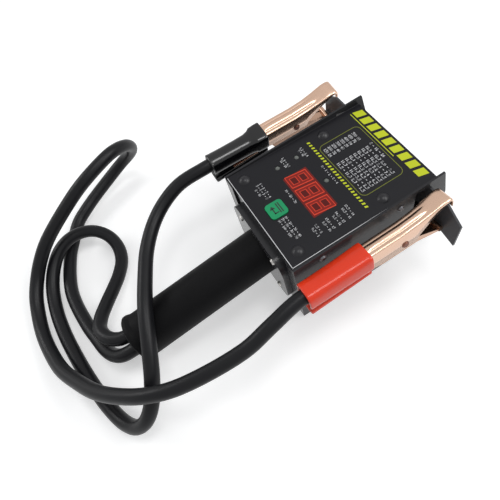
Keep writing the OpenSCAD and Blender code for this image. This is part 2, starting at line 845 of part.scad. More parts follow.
module red_lower_jaw() {
    color("#c58e74") clamp_frame(red_x, 1) lower_jaw(red_tail_slope, red_belly_z);
}

module red_rivet() {
    color("#b87f66") clamp_frame(red_x, 1) rivet();
}

module red_spring() {
    color("silver") clamp_frame(red_x, 1) torsion_spring();
}

module red_crimp() {
    color("#c58e74") clamp_frame(red_x, 1) crimp();
}

module red_upper_boot() {
    color("#e03c28") clamp_frame(red_x, 1) upper_boot();
}

module red_lower_boot() {
    color("#c9301f") clamp_frame(red_x, 1) lower_boot(red_tail_slope);
}

side_wall_left();
side_wall_right();
end_plate();
vent_plate();
base_cover();
clamp_rest();
face_panel();
face_overlay();
face_studs();
side_screws();
display_window();
display_module();
led_polarity();
led_volts();
led_load();
key_cap();
key_switch();
circuit_board();
board_standoffs();
board_nuts();
relay();
load_strip();
load_insulators();
handle_flange();
handle_screws();
handle_tube();
handle_grip();
lead_grommet();
inner_lead_black();
inner_lead_red();
lead_black();
lead_red();
black_upper_jaw();
black_lower_jaw();
black_rivet();
black_spring();
black_crimp();
black_upper_boot();
black_lower_boot();
red_upper_jaw();
red_lower_jaw();
red_rivet();
red_spring();
red_crimp();
red_upper_boot();
red_lower_boot();
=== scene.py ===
import math

import bmesh
import bpy
from mathutils import Matrix, Vector


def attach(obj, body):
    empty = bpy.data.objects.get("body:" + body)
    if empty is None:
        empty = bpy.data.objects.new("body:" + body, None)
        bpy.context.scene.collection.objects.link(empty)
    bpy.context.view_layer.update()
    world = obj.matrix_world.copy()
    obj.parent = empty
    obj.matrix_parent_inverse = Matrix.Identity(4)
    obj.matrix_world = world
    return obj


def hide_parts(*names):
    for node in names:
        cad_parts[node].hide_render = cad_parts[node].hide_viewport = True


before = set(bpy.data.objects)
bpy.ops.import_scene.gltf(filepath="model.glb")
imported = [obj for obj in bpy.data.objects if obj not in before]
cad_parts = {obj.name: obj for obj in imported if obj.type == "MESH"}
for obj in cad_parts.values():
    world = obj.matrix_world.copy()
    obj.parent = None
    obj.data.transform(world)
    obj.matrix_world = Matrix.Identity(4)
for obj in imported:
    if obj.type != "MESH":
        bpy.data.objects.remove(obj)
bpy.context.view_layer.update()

MM = 0.001

# ---------------------------------------------------------------- camera
# Lens, shift, place and directions found from the corners of the face in the photo
CAM_LENS, CAM_SENSOR = 31.284, 36.0
CAM_SHIFT = (-0.08, -0.026)
CAM_PLACE = (0.1450, -0.0971, 0.3082)
CAM_RIGHT = (0.5347, 0.8379, -0.1094)
CAM_BACK = (0.4620, -0.1815, 0.8681)

cam_data = bpy.data.cameras.new("camera")
cam_data.sensor_width = CAM_SENSOR
cam_data.lens = CAM_LENS
cam_data.shift_x, cam_data.shift_y = CAM_SHIFT
cam_data.clip_start = 0.01
cam = bpy.data.objects.new("camera", cam_data)
bpy.context.scene.collection.objects.link(cam)
right = Vector(CAM_RIGHT).normalized()
back = Vector(CAM_BACK)
back = (back - back.dot(right) * right).normalized()
up = back.cross(right)
cam.matrix_world = Matrix((
    (right.x, up.x, back.x, CAM_PLACE[0]),
    (right.y, up.y, back.y, CAM_PLACE[1]),
    (right.z, up.z, back.z, CAM_PLACE[2]),
    (0, 0, 0, 1)))
bpy.context.scene.camera = cam
bpy.context.scene.view_settings.view_transform = "Standard"


# ---------------------------------------------------------------- materials
COAT_ROUGH = 0.08
BROAD_PER_GRAIN = 12.0    # the blotches are this many times larger than the grain
WORN_FROM, WORN_FULL = 0.53, 0.62    # pointiness at which the worn edge starts and is full


def material(name, color, rough, metal=0.0, vary=0.08, grain=400.0, bump=0.05, spec=0.5,
             coat=0.0, rough_vary=0.06, stretch=(1, 1, 1), edge=None, bump_mm=0.1,
             blotch=None):
    """A procedural finish: blotches in colour, grain in roughness and height, and worn edges.

    'blotch' is the second colour of the blotches, and 'edge' the colour of the worn edges.
    """
    m = bpy.data.materials.new(name)
    m.use_nodes = True
    nt = m.node_tree
    b = nt.nodes["Principled BSDF"]
    b.inputs["Metallic"].default_value = metal
    b.inputs["Specular IOR Level"].default_value = spec
    b.inputs["Coat Weight"].default_value = coat
    b.inputs["Coat Roughness"].default_value = COAT_ROUGH
    coord = nt.nodes.new("ShaderNodeTexCoord")
    mapping = nt.nodes.new("ShaderNodeMapping")
    mapping.inputs["Scale"].default_value = stretch
    nt.links.new(coord.outputs["Object"], mapping.inputs["Vector"])
    fine = nt.nodes.new("ShaderNodeTexNoise")
    fine.inputs["Scale"].default_value = grain
    fine.inputs["Detail"].default_value = 4.0
    broad = nt.nodes.new("ShaderNodeTexNoise")
    broad.inputs["Scale"].default_value = grain / BROAD_PER_GRAIN
    broad.inputs["Detail"].default_value = 3.0
    for n in (fine, broad):
        nt.links.new(mapping.outputs["Vector"], n.inputs["Vector"])
    mix = nt.nodes.new("ShaderNodeMix")
    mix.data_type = "RGBA"
    mix.inputs["A"].default_value = (*[c * (1 - vary) for c in color], 1)
    mix.inputs["B"].default_value = (*[min(1, c * (1 + vary)) for c in (blotch or color)], 1)
    nt.links.new(broad.outputs["Fac"], mix.inputs["Factor"])
    last = mix.outputs["Result"]
    if edge:
        geo = nt.nodes.new("ShaderNodeNewGeometry")
        ramp = nt.nodes.new("ShaderNodeValToRGB")
        ramp.color_ramp.elements[0].position = WORN_FROM
        ramp.color_ramp.elements[1].position = WORN_FULL
        nt.links.new(geo.outputs["Pointiness"], ramp.inputs["Fac"])
        worn = nt.nodes.new("ShaderNodeMix")
        worn.data_type = "RGBA"
        worn.inputs["B"].default_value = (*edge, 1)
        nt.links.new(ramp.outputs["Color"], worn.inputs["Factor"])
        nt.links.new(last, worn.inputs["A"])
        last = worn.outputs["Result"]
    nt.links.new(last, b.inputs["Base Color"])
    spread = nt.nodes.new("ShaderNodeMapRange")
    spread.inputs["To Min"].default_value = max(0.02, rough - rough_vary)
    spread.inputs["To Max"].default_value = min(1.0, rough + rough_vary)
    nt.links.new(fine.outputs["Fac"], spread.inputs["Value"])
    nt.links.new(spread.outputs["Result"], b.inputs["Roughness"])
    relief = nt.nodes.new("ShaderNodeBump")
    relief.inputs["Strength"].default_value = bump
    relief.inputs["Distance"].default_value = bump_mm * MM
    nt.links.new(fine.outputs["Fac"], relief.inputs["Height"])
    nt.links.new(relief.outputs["Normal"], b.inputs["Normal"])
    return m


# Case, ears and face
PAINT = material("case_paint", (0.0065, 0.0068, 0.0078), 0.20, grain=900, bump=0.2, vary=0.15,
                 spec=0.25, edge=(0.040, 0.040, 0.043))
# Painted shade: a darker, less glossy copy of the case paint on the side walls, for the dark
# clamps and shadows that they mirror
WALL_PAINT_SHADED = material("wall_paint_painted_shade", (0.0050, 0.0052, 0.0060), 0.20, grain=500, bump=0.04,
                      vary=0.15, spec=0.11, edge=(0.040, 0.040, 0.043))
EAR_PAINT = material("ear_paint", (0.0060, 0.0058, 0.0062), 0.34, grain=900, bump=0.25, vary=0.25,
                     spec=0.11, edge=(0.07, 0.07, 0.075))
FILM = material("overlay_film", (0.0068, 0.0068, 0.0092), 0.40, grain=1600, bump=0.25, vary=0.12,
                rough_vary=0.08, spec=0.22)
# Pale grey for the painted highlight along the film's edge
FILM_EDGE_HIGHLIGHT = material("film_edge_painted_highlight", (0.62, 0.62, 0.63), 0.4, grain=900, bump=0.05)
DARK_STEEL = material("screw_black", (0.14, 0.14, 0.15), 0.28, metal=1.0, grain=1200, bump=0.1)
DOME = material("dome_heads", (0.0125, 0.0122, 0.0150), 0.34, grain=1400, bump=0.25, vary=0.12,
                spec=0.35)
STEEL = material("steel", (0.50, 0.49, 0.47), 0.30, metal=1.0, grain=1200, bump=0.1, vary=0.1,
                 stretch=(1, 1, 6))
# Display, lamps and key
FILTER = material("display_red", (0.155, 0.0100, 0.0070), 0.20, grain=420, vary=0.30, coat=0.1,
                  spec=0.2)
SEGMENT = material("segment_dark", (0.090, 0.0070, 0.0060), 0.3, grain=700, spec=0.2)
BAR = material("segment_red", (0.22, 0.015, 0.010), 0.3, grain=700, spec=0.2)
OUTLINE = material("segment_line", (0.66, 0.055, 0.026), 0.35, grain=700, vary=0.15, spec=0.2)
MODULE = material("module_dark", (0.06, 0.006, 0.006), 0.5)
LAMP = material("lamp", (0.13, 0.14, 0.13), 0.2, grain=900, coat=0.3)
GREEN = material("key_green", (0.010, 0.270, 0.105), 0.34, grain=900, vary=0.14, bump=0.15,
                 spec=0.3)
LEGEND = material("key_legend", (0.004, 0.020, 0.014), 0.5, grain=900)
# Inside, handle and leads
PLASTIC = material("black_plastic", (0.012, 0.012, 0.013), 0.5, grain=900, bump=0.2)
BOARD = material("board_green", (0.02, 0.12, 0.04), 0.35, grain=500)
NICHROME = material("nichrome", (0.35, 0.32, 0.30), 0.35, metal=1.0, grain=300, vary=0.3)
CERAMIC = material("ceramic", (0.72, 0.68, 0.58), 0.8, grain=700, bump=0.4)
GRIP = material("grip_foam", (0.0032, 0.0032, 0.0037), 0.55, grain=2200, bump=0.6, vary=0.25,
                rough_vary=0.1, spec=0.11, bump_mm=0.15)
LEAD = material("lead_rubber", (0.0062, 0.0064, 0.0078), 0.38, grain=1500, bump=0.25, vary=0.2,
                rough_vary=0.08, spec=0.22)
# Clamps
COPPER = material("copper_plate", (0.70, 0.475, 0.355), 0.24, metal=1.0, grain=200, vary=0.04,
                  bump=0.02, rough_vary=0.03, stretch=(3, 0.35, 3), blotch=(0.74, 0.51, 0.385),
                  edge=(0.80, 0.58, 0.45))
# Painted shade: a darker copy of the copper on the lower jaws, for the dark wall and shadows that
# they mirror
COPPER_JAW_SHADED = material("copper_jaw_painted_shade", (0.56, 0.36, 0.26), 0.24, metal=1.0, grain=200, vary=0.04,
                        bump=0.02, rough_vary=0.03)
# Painted shade: darker copper on the rivets, for the shade in their hollows; the crimps use it
# too
COPPER_HOLLOW_SHADE = material("copper_hollow_painted_shade", (0.22, 0.10, 0.07), 0.45, metal=0.9, grain=260, vary=0.25,
                       bump=0.15)
BLACK_VINYL = material("black_vinyl", (0.0012, 0.0012, 0.0018), 0.16, grain=260, vary=0.2,
                       bump=0.03, spec=0.6, rough_vary=0.04)
RED_VINYL = material("red_vinyl", (0.74, 0.040, 0.012), 0.22, grain=240, vary=0.05, bump=0.04,
                     coat=0.1, rough_vary=0.04, spec=0.3, blotch=(0.80, 0.050, 0.016))
# Print
WHITE_INK = material("white_ink", (0.66, 0.66, 0.68), 0.5, grain=1800, vary=0.12, spec=0.2)
LIME_INK = material("lime_ink", (0.52, 0.58, 0.022), 0.5, grain=1500, vary=0.08, spec=0.2)
OLIVE_INK = material("olive_ink", (0.20, 0.22, 0.03), 0.5, grain=1500, vary=0.1, spec=0.2)

VINYL = {"black": BLACK_VINYL, "red": RED_VINYL}
NODE_FINISH = {
    "side_wall_left": WALL_PAINT_SHADED, "side_wall_right": WALL_PAINT_SHADED, "end_plate": PAINT,
    "vent_plate": PAINT, "base_cover": PAINT, "clamp_rest": EAR_PAINT, "face_panel": PAINT,
    "face_overlay": FILM, "face_studs": DOME, "side_screws": DARK_STEEL,
    "display_window": FILTER, "display_module": MODULE,
    "led_polarity": LAMP, "led_volts": LAMP, "led_load": LAMP, "key_cap": GREEN,
    "key_switch": PLASTIC, "circuit_board": BOARD, "board_standoffs": STEEL, "board_nuts": STEEL,
    "relay": PLASTIC, "load_strip": NICHROME, "load_insulators": CERAMIC,
    "handle_flange": PAINT, "handle_screws": STEEL, "handle_tube": STEEL, "handle_grip": GRIP,
    "lead_grommet": PLASTIC, "inner_lead_black": LEAD, "inner_lead_red": LEAD,
}
for side, vinyl in VINYL.items():
    NODE_FINISH.update({
        f"{side}_upper_jaw": COPPER, f"{side}_lower_jaw": COPPER_JAW_SHADED,
        f"{side}_rivet": COPPER_HOLLOW_SHADE, f"{side}_spring": STEEL, f"{side}_crimp": COPPER_HOLLOW_SHADE,
        f"lead_{side}": LEAD, f"{side}_upper_boot": vinyl, f"{side}_lower_boot": vinyl})
for name, finish in NODE_FINISH.items():
    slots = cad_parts[name].material_slots
    if not slots:
        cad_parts[name].data.materials.append(finish)
    for s in slots:
        s.material = finish


# ---------------------------------------------------------------- mesh helpers
def piece(name, bm, finish, body, smooth=True, replaces=()):
    """Turns a bmesh in millimetres into a named piece that rides on a body and hides the parts it
    replaces.
    """
    bmesh.ops.recalc_face_normals(bm, faces=bm.faces)
    me = bpy.data.meshes.new(name)
    bm.to_mesh(me)
    bm.free()
    me.transform(Matrix.Scale(MM, 4))
    for p in me.polygons:
        p.use_smooth = smooth
    o = bpy.data.objects.new(name, me)
    bpy.context.scene.collection.objects.link(o)
    me.materials.append(finish)
    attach(o, body)
    if replaces:
        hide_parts(*replaces)
    return o


def loft(bm, rings, close_ends=True):
    """Skins rings of equal point count, with a face across each end unless told not to."""
    rows = [[bm.verts.new(p) for p in r] for r in rings]
    n = len(rows[0])
    for a, b in zip(rows, rows[1:]):
        for k in range(n):
            bm.faces.new((a[k], a[(k + 1) % n], b[(k + 1) % n], b[k]))
    if close_ends:
        bm.faces.new(rows[0][::-1])
        bm.faces.new(rows[-1])


# Each clamp's frame: its pivot in the shared frame, and its lean about Y in degrees
PIVOT = {"black": (-70.5, 10.5, 61.0), "red": (55.5, 10.5, 61.0)}
LEAN = {"black": 9, "red": -9}


def clamp_matrix(side):
    """From a clamp's own frame, with +Y (u) towards its tips, to the shared frame."""
    return (Matrix.Translation(PIVOT[side])
            @ Matrix.Rotation(math.radians(LEAN[side]), 4, "Y"))


def interp(table, u):
    """Values of a table of (u, a, b, ...) rows at u, by straight lines."""
    for r0, r1 in zip(table, table[1:]):
        if r0[0] <= u <= r1[0]:
            t = (u - r0[0]) / (r1[0] - r0[0])
            return [a + (b - a) * t for a, b in zip(r0[1:], r1[1:])]
    row = table[0] if u < table[0][0] else table[-1]
    return list(row[1:])


# ---------------------------------------------------------------- leads
# The same points as the routes in the part's source, from the handle to the clamp
BLACK_ROUTE = [(-5.5, -164, 26.8), (-5.6, -170.5, 26), (-7.4, -177.8, 25.2), (-13.4, -184.8, 24),
    (-23.5, -188.2, 22), (-33.3, -185.4, 19.4), (-43.3, -179, 16.4), (-54, -171, 13.2),
    (-65, -163.3, 10.2), (-78, -157, 8), (-91, -154.8, 9), (-103, -157.5, 12),
    (-111.5, -164.5, 15), (-115.5, -174, 17), (-115, -185, 18), (-110, -196, 16.5),
    (-101, -205.5, 13), (-88, -213, 9), (-70, -217.5, 6), (-48, -218, 5.6),
    (-24, -216, 5.5), (0, -212.5, 5.5), (24, -207, 6), (40.5, -200, 9.5),
    (49.5, -192, 15.5), (51.5, -183.5, 22.5), (47.5, -175, 30), (36.5, -166, 38.5),
    (19, -157, 47), (-1, -149, 51.6), (-22, -140, 52.2), (-42, -130, 52.2),
    (-58, -117, 53.6), (-67, -103, 57), (-71, -87, 61.4), (-70, -66, 64.4), (-70, -46, 64.4)]
RED_ROUTE = [(5.5, -164, 26.8), (5.3, -172, 25.3), (3.2, -180.5, 22), (-3, -187.5, 16.5),
    (-13, -193, 11.5), (-27, -197, 7.8), (-43, -200.5, 5.9), (-77, -202.3, 5.5),
    (-108, -193.5, 5.5), (-122, -186, 5.5), (-137.4, -175.8, 6), (-144.4, -165.9, 7.5),
    (-151.4, -154, 9), (-161.6, -130.3, 13.5), (-163.2, -119.5, 18), (-160.1, -111, 25),
    (-154.3, -105.6, 34), (-148.9, -104, 43), (-142.9, -106.5, 51.5), (-136.8, -112.8, 58),
    (-131.1, -121.7, 61.5), (-121.2, -146.7, 59), (-118.4, -163.8, 51),
    (-111.1, -195.3, 33.5), (-105.7, -207.5, 25), (-98.8, -217.1, 17.5), (-86, -225.5, 12),
    (-71, -230, 8.6), (-54, -231.5, 8), (-34, -229, 11), (-14, -223, 17), (4, -213, 24),
    (20, -202, 32), (34, -188, 40), (47, -170, 48), (55, -150, 52), (60, -108, 57),
    (58, -87, 62), (55, -66, 64.4), (55, -46, 64.4)]
LEAD_D = 10.0


def smooth_line(points, steps=6):
    """A centripetal curve through the points, as many short straight steps."""
    p = [Vector(v) for v in points]
    p = [2 * p[0] - p[1]] + p + [2 * p[-1] - p[-2]]
    out = []
    for i in range(1, len(p) - 2):
        t = [0.0]
        for k in range(3):
            t.append(t[-1] + (p[i + k] - p[i + k - 1]).length ** 0.5)
        for s in range(steps):
            x = t[1] + (t[2] - t[1]) * s / steps
            a = [p[i - 1 + k].lerp(p[i + k], (x - t[k]) / (t[k + 1] - t[k])) for k in range(3)]
            b = [a[k].lerp(a[k + 1], (x - t[k]) / (t[k + 2] - t[k])) for k in range(2)]
            out.append(b[0].lerp(b[1], (x - t[1]) / (t[2] - t[1])))
    out.append(p[-2])
    return out


def lead(side, route):
    """A round tube along the route, and the line that it follows."""
    line = smooth_line(route)
    curve = bpy.data.curves.new(f"lead_{side}_tube", "CURVE")
    curve.dimensions = "3D"
    curve.bevel_depth = LEAD_D / 2 * MM
    curve.bevel_resolution = 8
    curve.use_fill_caps = True
    spline = curve.splines.new("POLY")
    spline.points.add(len(line) - 1)
    for q, v in zip(spline.points, line):
        q.co = (*(v * MM), 1)
    spline.use_smooth = True
    o = bpy.data.objects.new(f"lead_{side}_tube", curve)
    bpy.context.scene.collection.objects.link(o)
    curve.materials.append(LEAD)
    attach(o, "root")
    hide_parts(f"lead_{side}")
    return o, line


LEADS = {"black": lead("black", BLACK_ROUTE), "red": lead("red", RED_ROUTE)}

# ---------------------------------------------------------------- upper jaws
# Rows: place along the clamp u, top of the sheet, low edge of the cheek, rib height, width
JAW = [(-56, 8.0, -1.0, 0, 12), (-34, 8.0, -1.0, 0, 12), (-27, 10.2, -2.5, 0.2, 12),
    (-24, 10.4, -4.0, 0.7, 12), (-20, 10.45, -4.0, 0.95, 12), (-12, 10.6, -4.0, 1.0, 12),
    (0, 10.8, -4.0, 1.0, 12), (9, 11.8, -4.0, 0.95, 12), (11.3, 12.05, 0.4, 0.9, 12.1),
    (15.9, 13.1, 4.4, 0.6, 12.3), (18.5, 13.7, 6.6, 0.3, 12.5), (20.5, 14.2, 8.4, 0.0, 12.6),
    (26, 15.8, 11.8, 0, 13.0), (29, 16.7, 13.6, 0, 13.2), (31.6, 17.0, 15.0, 0, 13.2),
    (34, 17.0, 15.6, 0, 13.2)]
# The tip that turns down. Rows: u, height, and how far it has turned in degrees
NOSE = [(35.4, 16.5, 32), (36.5, 15.5, 55), (37.1, 14.0, 75), (37.4, 12.6, 87), (37.4, 9.5, 90)]
NOSE_WIDTH, NOSE_T = 13.2, 1.3
JAW_T = 1.2
JAW_BEND = 1.3
JAW_PLACES = {u * 2.0 for u in range(-12, 10)}    # more rings where the rib shows
# The rib's left half across the sheet: x, and share of its height
RIB = [(-3.1, 0), (-2.65, -0.12), (-2.3, 0.15), (-1.9, 0.6), (-1.3, 0.92), (-0.6, 1.0)]


def jaw_section(width, depth, rib):
    """Outer and inner lines of the jaw's channel: x and drop below its top."""
    half = width / 2
    xs = [-half, -half]
    drops = [depth, max(JAW_BEND, depth * 0.5)]
    for k in range(5):
        a = math.pi / 2 * k / 4
        xs.append(-half + JAW_BEND * (1 - math.cos(a)))
        drops.append(JAW_BEND * (1 - math.sin(a)))
    for x, share in RIB:
        xs.append(x)
        drops.append(-rib * share)
    xs, drops = xs + [-x for x in reversed(xs)], drops + list(reversed(drops))
    outer = list(zip(xs, drops))
    inner = [(x * (half - JAW_T) / half, min(d + JAW_T, max(depth, JAW_T))) for x, d in outer]
    return outer, inner


def upper_jaw(side):
    """The copper channel of the upper jaw, with its rib and its turned-down tip."""
    bm = bmesh.new()
    rings = []
    for u in sorted({row[0] for row in JAW} | JAW_PLACES):
        top, low, rib, width = interp(JAW, u)
        outer, inner = jaw_section(width, top - low, rib)
        rings.append([(x, u, top - d) for x, d in outer + inner[::-1]])
    for u, top, pitch in NOSE:
        a = math.radians(pitch)
        outer, inner = jaw_section(NOSE_WIDTH, NOSE_T, 0)
        rings.append([(x, u - math.sin(a) * d, top - math.cos(a) * d)
                      for x, d in outer + inner[::-1]])
    loft(bm, rings, close_ends=False)
    cap_channel(bm, rings)
    bm.transform(clamp_matrix(side))
    return piece(f"{side}_jaw_shell", bm, COPPER, "root",
                 replaces=[f"{side}_upper_jaw"])


# ---------------------------------------------------------------- boots
BOOT_POINTS, CHANNEL_POINTS = 32, 44


def round_rect_ring(width, low, high, power, u):
    """A ring with rounded corners: 'power' 2 is an oval and larger is squarer."""
    cz, hz, hx = (low + high) / 2, (high - low) / 2, width / 2
    ring = []
    for k in range(BOOT_POINTS):
        a = 2 * math.pi * k / BOOT_POINTS
        c, s = math.cos(a), math.sin(a)
        ring.append((hx * math.copysign(abs(c) ** (2 / power), c), u,
                     cz + hz * math.copysign(abs(s) ** (2 / power), s)))
    return ring


# Rows: u, width, low, high, squareness, side wall, top wall
RED_UPPER = [(-72, 15.6, -3.6, 10.3, 3.2, 1.2, 1.3), (-71.3, 16.1, -3.8, 10.6, 3.4, 1.5, 1.5),
    (-60, 16.1, -3.7, 10.8, 3.6, 1.5, 1.5), (-48, 16.2, -3.4, 11.0, 3.8, 1.6, 1.5),
    (-38, 16.4, -2.9, 11.4, 4.2, 1.8, 1.5), (-30, 16.7, -2.5, 11.9, 4.6, 2.2, 1.5),
    (-26.6, 16.8, -2.4, 12.0, 4.6, 2.2, 1.5), (-26, 16.4, -2.2, 11.8, 4.6, 2.1, 1.4)]
BLACK_UPPER = [(-72, 14.2, -3.4, 10.1, 2.5, 1.0, 1.2), (-71.2, 15.2, -3.9, 10.7, 2.5, 1.5, 1.8),
    (-70, 14.7, -3.7, 10.5, 2.5, 1.3, 1.6), (-60, 14.5, -3.6, 10.3, 2.5, 1.2, 1.4),
    (-48, 14.5, -3.5, 10.3, 2.6, 1.2, 1.4), (-40, 14.6, -3.3, 10.5, 2.8, 1.3, 1.4),
    (-36.5, 15.4, -2.8, 10.9, 3.4, 1.6, 1.4), (-34.5, 16.8, -2.4, 11.5, 5.0, 2.2, 1.4),
    (-30, 17.0, -2.2, 11.8, 6.0, 2.4, 1.4), (-26.5, 17.0, -2.1, 11.9, 6.0, 2.4, 1.4),
    (-26, 16.7, -2.0, 11.7, 6.0, 2.2, 1.3)]
SLOT_HALF = 6.0
UPPER_PLACES = {-71 + 2.5 * k for k in range(18)}    # more rings between the rows


def channel_ring(u, width, low, high, power, side_wall, top_wall):
    """Outer and inner lines of a boot that is open underneath, SLOT_HALF each way."""
    hx, hz, cz = width / 2, (high - low) / 2, (low + high) / 2
    start = -math.acos((SLOT_HALF / hx) ** (power / 2))
    outer, inner = [], []
    for k in range(CHANNEL_POINTS):
        a = start + (math.pi - 2 * start) * k / (CHANNEL_POINTS - 1)
        fx = math.copysign(abs(math.cos(a)) ** (2 / power), math.cos(a))
        fz = math.copysign(abs(math.sin(a)) ** (2 / power), math.sin(a))
        outer.append((hx * fx, u, cz + hz * fz))
        x = (hx - side_wall) * fx
        if fz < 0:
            x = math.copysign(max(abs(x), SLOT_HALF), fx)
        inner.append((x, u, cz + (hz - top_wall) * fz))
    return outer + inner[::-1]


def cap_channel(bm, rings):
    """Closes both ends of a lofted channel with strips across its wall."""
    bm.verts.ensure_lookup_table()
    n = len(rings[0])
    for base in (0, (len(rings) - 1) * n):
        for k in range(n // 2 - 1):
            bm.faces.new([bm.verts[base + i] for i in (k, k + 1, n - 2 - k, n - 1 - k)])


def upper_boot(side):
    """The upper boot, open underneath, from the rows of its own side."""
    rows = RED_UPPER if side == "red" else BLACK_UPPER
    places = sorted({row[0] for row in rows} | UPPER_PLACES)
    bm = bmesh.new()
    rings = [channel_ring(u, *interp(rows, u)) for u in places]
    loft(bm, rings, close_ends=False)
    cap_channel(bm, rings)
    bm.transform(clamp_matrix(side))
    return piece(f"{side}_boot_shell", bm, VINYL[side], "root",
                 replaces=[f"{side}_upper_boot"])


# The lower jaw's tail is TAIL_LOW high at TAIL_START, and slopes down behind it
TAIL_LOW, TAIL_START = -6.3, -24
TAIL_SLOPE = {"black": 0.128, "red": 0.06}
LOWER_REAR, LOWER_FRONT = -72, -26
LOWER_PLACES = (LOWER_REAR, -71.3, -66, -60, -54, -48, -42, -36, -30, -26.6, LOWER_FRONT)
LOWER_WIDTH, LOWER_POWER = 11.4, 3.4
LOWER_ROUND = 0.6    # how much smaller the rings at both ends are
# How far the boot reaches below the tail, and above it at the front and the rear
LOWER_BELOW, LOWER_ABOVE_FRONT, LOWER_ABOVE_REAR = 2.9, 1.0, 2.2
# How much deeper the front is, which grows from LOWER_DEEPENS on
LOWER_DEEPER = {"black": 2.5, "red": 0.0}
LOWER_DEEPENS = -56
# The hollow's rings. Rows: tail's place, width, reach below, reach above, ring's place
HOLLOW = [(-66, 7.4, 1.6, 0.6, -66), (-72, 8.4, 1.8, 1.0, -71.9)]
HOLLOW_POWER = 3


def lower_boot(side):
    """The lower boot, a closed sleeve with a hollow at its rear end."""
    def tail_z(u):
        return TAIL_LOW + TAIL_SLOPE[side] * (u - TAIL_START)

    rings = []
    for u in LOWER_PLACES:
        less = LOWER_ROUND if u in (LOWER_REAR, LOWER_FRONT) else 0.0
        deeper = LOWER_DEEPER[side] * (u - LOWER_DEEPENS) / (LOWER_FRONT - LOWER_DEEPENS)
        low = tail_z(u) - LOWER_BELOW + less - max(0.0, deeper)
        to_rear = (u - LOWER_FRONT) / (LOWER_REAR - LOWER_FRONT)
        above = LOWER_ABOVE_FRONT + (LOWER_ABOVE_REAR - LOWER_ABOVE_FRONT) * to_rear
        rings.append(round_rect_ring(LOWER_WIDTH - 2 * less, low, tail_z(u) + above - less,
                                     LOWER_POWER, u))
    inside = [round_rect_ring(width, tail_z(at) - below, tail_z(at) + above, HOLLOW_POWER, u)
              for at, width, below, above, u in HOLLOW]
    bm = bmesh.new()
    loft(bm, inside + rings)
    bm.transform(clamp_matrix(side))
    return piece(f"{side}_lower_boot_shell", bm, VINYL[side], f"{side}_jaw",
                 replaces=[f"{side}_lower_boot"])


for side, (tube, line) in LEADS.items():
    clamp = [upper_jaw(side), upper_boot(side), lower_boot(side)]
    clamp += [f"{side}_{n}" for n in ("lower_jaw", "rivet", "spring", "crimp")]

# ---------------------------------------------------------------- face print
FACE_Z = 77.0
INK_T = 0.03
FACE_W, FACE_L = 82, 110
FACE_LEFT, FACE_TOP = -41, 51
# Pen lines of each sign, on a grid 4 wide and 6 high
DIGITS = {
    "0": [(0, 1), (0, 5), (1, 6), (3, 6), (4, 5), (4, 1), (3, 0), (1, 0), (0, 1)],
    "1": [(1, 5), (2, 6), (2, 0)],
    "2": [(0, 5), (1, 6), (3, 6), (4, 5), (4, 4), (0, 0), (4, 0)],
    "3": [(0, 6), (4, 6), (2, 4), (4, 3), (4, 1), (3, 0), (1, 0), (0, 1)],
    "4": [(3, 0), (3, 6), (0, 2), (4, 2)],
    "5": [(4, 6), (0, 6), (0, 4), (3, 4), (4, 3), (4, 1), (3, 0), (0, 0)],
    "6": [(3, 6), (1, 6), (0, 4), (0, 1), (1, 0), (3, 0), (4, 1), (4, 3), (3, 4), (0, 3)],
    "7": [(0, 6), (4, 6), (1, 0)],
    "8": [(1, 3), (0, 4), (0, 5), (1, 6), (3, 6), (4, 5), (4, 4), (3, 3), (1, 3), (0, 2), (0, 1),
          (1, 0), (3, 0), (4, 1), (4, 2), (3, 3)],
    "9": [(1, 0), (3, 0), (4, 2), (4, 5), (3, 6), (1, 6), (0, 5), (0, 3), (1, 2), (4, 3)],
    ".": [(1.6, 0), (2.4, 0)],
    "-": [(0.5, 3), (3.5, 3)],
}
GRID_W, GRID_L, GRID_MARGIN = 1000, 1350, 60


def face_xy(px, py):
    """A place on the face from the layout grid, which starts at the far left corner."""
    return ((px - GRID_MARGIN) / GRID_W * FACE_W + FACE_LEFT,
            FACE_TOP - (py - GRID_MARGIN) / GRID_L * FACE_L)


def prism(bm, outline, z0, z1):
    """A flat shape between two heights."""
    low = [bm.verts.new((x, y, z0)) for x, y in outline]
    high = [bm.verts.new((x, y, z1)) for x, y in outline]
    bm.faces.new(low[::-1])
    bm.faces.new(high)
    n = len(outline)
    for k in range(n):
        bm.faces.new((low[k], low[(k + 1) % n], high[(k + 1) % n], high[k]))


def stroke(bm, a, b, width, z0=FACE_Z, t=INK_T):
    """One straight pen stroke, as a thin raised bar."""
    a, b = Vector(a), Vector(b)
    d = (b - a).normalized() * width / 2
    s = Vector((-d.y, d.x))
    prism(bm, [(p.x, p.y) for p in (a - d - s, b + d - s, b + d + s, a - d + s)], z0, z0 + t)


# Shares of a digit's height: pen width and advance. Digits are narrowed by DIGIT_NARROW.
PEN_SHARE, ADVANCE_SHARE = 0.21, 0.72
DIGIT_NARROW = 0.8


def number(bm, text, x, y, height):
    """Digits written to the right from x, with their middle on y."""
    k = height / 6
    for ch in text:
        if ch != " ":
            pts = [(x + px * k * DIGIT_NARROW, y - height / 2 + py * k) for px, py in DIGITS[ch]]
            for a, b in zip(pts, pts[1:]):
                stroke(bm, a, b, height * PEN_SHARE)
        x += height * ADVANCE_SHARE


def arc_points(cx, cy, r, a0, a1, n=8):
    """Points along an arc between two angles in degrees."""
    return [(cx + r * math.cos(math.radians(a0 + (a1 - a0) * i / n)),
             cy + r * math.sin(math.radians(a0 + (a1 - a0) * i / n))) for i in range(n + 1)]


def band(bm, points, width, z0=FACE_Z, t=INK_T):
    """A closed line of even width through the points."""
    n = len(points)
    rows = []
    for i, p in enumerate(points):
        a, b = Vector(points[i - 1]), Vector(points[(i + 1) % n])
        d = (b - a).normalized() * width / 2
        s = Vector((-d.y, d.x))
        p = Vector(p)
        rows.append([bm.verts.new((*(p + k * s), z)) for k, z in
                     ((-1, z0), (1, z0), (1, z0 + t), (-1, z0 + t))])
    for i in range(n):
        a, b = rows[i - 1], rows[i]
        for k in range(4):
            bm.faces.new((a[k], a[(k + 1) % 4], b[(k + 1) % 4], b[k]))


